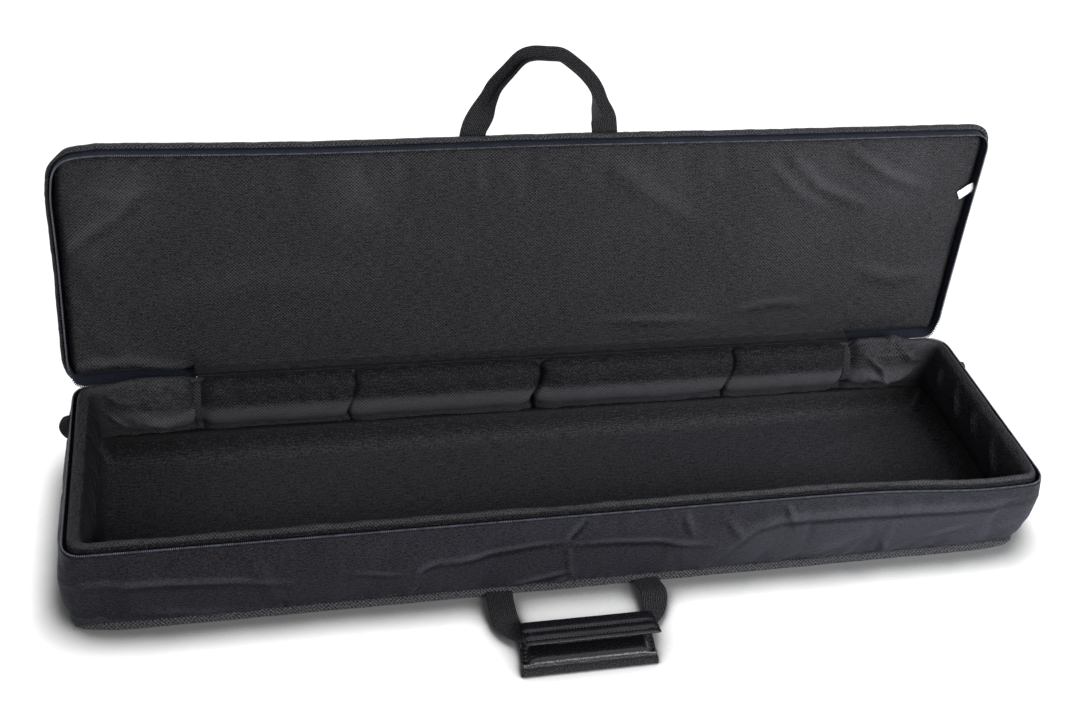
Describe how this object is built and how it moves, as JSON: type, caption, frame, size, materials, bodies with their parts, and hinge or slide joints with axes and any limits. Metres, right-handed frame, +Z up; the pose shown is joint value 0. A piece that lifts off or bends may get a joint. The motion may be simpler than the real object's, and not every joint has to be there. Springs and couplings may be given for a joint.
{
  "type": "keyboard gig bag",
  "caption": "Long padded keyboard bag lying open, with a zip round its rim, a hinged padded lid, a webbing handle on each half and a padded grip wrap.",
  "frame": {"origin": "middle of the underside, on the bottom panel's outer face", "axes": "+X along the bag's length, +Y from the front to the hinged rear, +Z up"},
  "size_m": [1.4126, 0.5875, 0.6299],
  "materials": {
    "outer_fabric": "matte",
    "lining": "matte",
    "foam": "matte",
    "binding_tape": "matte",
    "zip_tape": "matte",
    "zip_coil": "satin",
    "webbing": "matte",
    "leatherette": "satin",
    "hook_and_loop": "matte",
    "label": "matte",
    "slider_metal": "satin"
  },
  "bodies": {
    "tray": {"bottom_panel": "outer_fabric", "bottom_foam": "foam", "bottom_lining": "lining", "bottom_binding": "binding_tape", "gusset_fabric": "outer_fabric", "gusset_foam": "foam", "gusset_lining": "lining", "spine_panel": "outer_fabric", "spine_foam": "foam", "spine_lining": "lining", "tray_zipper_tape": "zip_tape", "tray_zipper_coil": "zip_coil", "rear_seam_binding_left": "binding_tape", "rear_seam_binding_right": "binding_tape", "side_tab_left": "webbing", "side_tab_right": "webbing", "hinge_strip": "outer_fabric", "hinge_lining": "lining"},
    "lid": {"lid_panel": "outer_fabric", "lid_foam": "foam", "lid_lining": "lining", "lid_binding": "binding_tape", "lid_zipper_tape": "zip_tape", "lid_zipper_coil": "zip_coil", "care_label": "label"},
    "lid_handle": {"lid_handle_webbing": "webbing"},
    "base_handle": {"base_handle_webbing": "webbing", "grip_lower_pad": "leatherette", "grip_hook_strip": "hook_and_loop"},
    "grip_flap": {"grip_upper_flap": "leatherette", "grip_loop_strip": "hook_and_loop"},
    "slider_left": {"zipper_slider_left": "slider_metal"},
    "slider_right": {"zipper_slider_right": "slider_metal"},
    "pull_left": {"pull_tab_left": "slider_metal"},
    "pull_right": {"pull_tab_right": "slider_metal"}
  },
  "joints": [
    {"name": "lid_hinge", "type": "hinge", "parent": "tray", "child": "lid", "pos_m": [0, 0.182, 0.139], "axis": [1, 0, 0], "range_deg": [-84.5, 95.5], "deforming": ["hinge_strip", "hinge_lining"]},
    {"name": "lid_handle_hinge", "type": "hinge", "parent": "lid", "child": "lid_handle", "pos_m": [-0.012, 0.24603, 0.49832], "axis": [1, 0, 0], "range_deg": [-170, 85]},
    {"name": "base_handle_hinge", "type": "hinge", "parent": "tray", "child": "base_handle", "pos_m": [-0.012, -0.1818, 0.0083], "axis": [1, 0, 0], "range_deg": [-78, 0]},
    {"name": "grip_flap_hinge", "type": "hinge", "parent": "base_handle", "child": "grip_flap", "pos_m": [-0.012, -0.25626, 0.0187], "axis": [-1, 0, 0], "range_deg": [-21, 150]},
    {"name": "slider_left_slide", "type": "slide", "parent": "tray", "child": "slider_left", "axis": [-1, 0, 0], "range_m": [0, 0.11]},
    {"name": "slider_right_slide", "type": "slide", "parent": "tray", "child": "slider_right", "axis": [1, 0, 0], "range_m": [0, 0.11]},
    {"name": "pull_left_swing", "type": "hinge", "parent": "slider_left", "child": "pull_left", "pos_m": [-0.53, 0.17785, 0.1341], "axis": [1, 0, 0], "range_deg": [0, 85]},
    {"name": "pull_right_swing", "type": "hinge", "parent": "slider_right", "child": "pull_right", "pos_m": [0.53, 0.17785, 0.1341], "axis": [1, 0, 0], "range_deg": [0, 85]}
  ]
}
